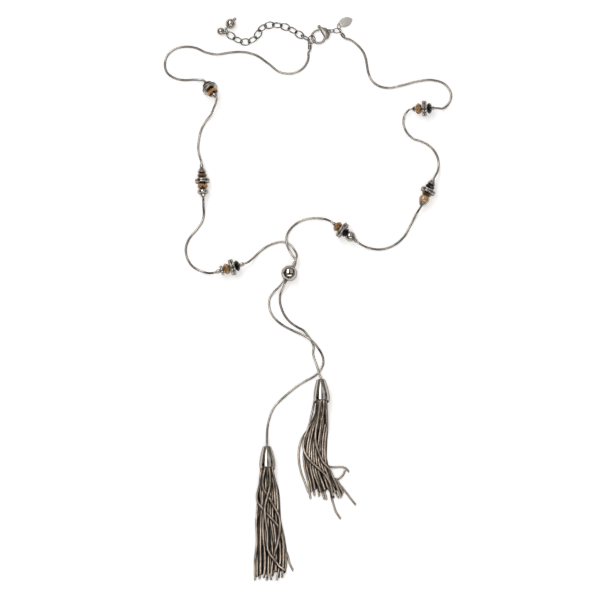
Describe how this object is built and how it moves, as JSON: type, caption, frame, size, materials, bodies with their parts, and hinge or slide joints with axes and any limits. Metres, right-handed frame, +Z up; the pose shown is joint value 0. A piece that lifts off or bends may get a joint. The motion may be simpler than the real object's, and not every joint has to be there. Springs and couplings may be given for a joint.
{
  "type": "lariat necklace",
  "caption": "Lariat necklace of fine silver-tone snake chain with bead stations, a slider ball, tassels in bell caps, a lobster clasp and an extension chain.",
  "frame": {"origin": "on the surface that the necklace lies on, at the middle of its bounding box in X and Y", "axes": "+Y from the tassels to the clasp, +X to the right seen from above, +Z up from the surface"},
  "size_m": [0.1533, 0.3074, 0.0089],
  "materials": {
    "snake_chain": "bright rhodium tone snake chain with fine slanting ribs",
    "polished_metal": "mirror polished, rhodium tone",
    "satin_metal": "satin polished, rhodium tone",
    "black_glass": "faceted, jet black, glossy",
    "brown_glass": "faceted, dark smoky brown",
    "amber_glass": "faceted, warm amber brown",
    "pearl": "glossy champagne pearl"
  },
  "bodies": {
    "necklace": {"left_chain": "snake_chain", "right_chain": "snake_chain", "slider_ball": "polished_metal", "upper_cap": "polished_metal", "lower_cap": "polished_metal", "upper_tassel": "snake_chain", "lower_tassel": "snake_chain", "clasp_body": "satin_metal", "hook_ring": "polished_metal", "tail_ring": "polished_metal", "connector_ring": "polished_metal", "tag_ring": "polished_metal", "tag": "satin_metal", "left_chain_end": "polished_metal", "right_chain_end": "polished_metal", "extension_chain": "polished_metal", "drop_ring": "polished_metal", "large_drop": "polished_metal", "small_drop": "polished_metal", "left_top_crimp": "polished_metal", "left_top_black_bead": "black_glass", "left_top_ring": "polished_metal", "left_top_amber_bead": "amber_glass", "left_top_cone": "polished_metal", "left_middle_crimp": "polished_metal", "left_middle_cap": "polished_metal", "left_middle_brown_bead": "brown_glass", "left_middle_ring": "polished_metal", "left_middle_amber_bead": "amber_glass", "left_middle_silver_bead": "polished_metal", "left_middle_cone": "polished_metal", "left_low_crimp": "polished_metal", "left_low_silver_bead": "polished_metal", "left_low_amber_bead": "amber_glass", "left_low_ring": "polished_metal", "left_low_black_bead": "black_glass", "left_low_end_crimp": "polished_metal", "right_low_crimp": "polished_metal", "right_low_cap": "polished_metal", "right_low_mirror_bead": "polished_metal", "right_low_black_bead": "black_glass", "right_low_ring": "polished_metal", "right_low_amber_bead": "amber_glass", "right_low_end_crimp": "polished_metal", "right_middle_crimp": "polished_metal", "right_middle_cap": "polished_metal", "right_middle_black_bead": "black_glass", "right_middle_ring": "polished_metal", "right_middle_brown_bead": "brown_glass", "right_middle_pearl_bead": "pearl", "right_middle_end_cap": "polished_metal", "right_top_crimp": "polished_metal", "right_top_black_bead": "black_glass", "right_top_ring": "polished_metal", "right_top_amber_bead": "amber_glass", "right_top_cone": "polished_metal"},
    "lever": {"clasp_lever": "satin_metal"}
  },
  "joints": [
    {"name": "clasp_lever_hinge", "type": "hinge", "parent": "necklace", "child": "lever", "pos_m": [0.00718, 0.14697, 0.0013], "axis": [0, 0, 1], "range_deg": [0, 20], "stiffness_Nm_per_rad": 0.002, "springref_deg": -20.05}
  ]
}
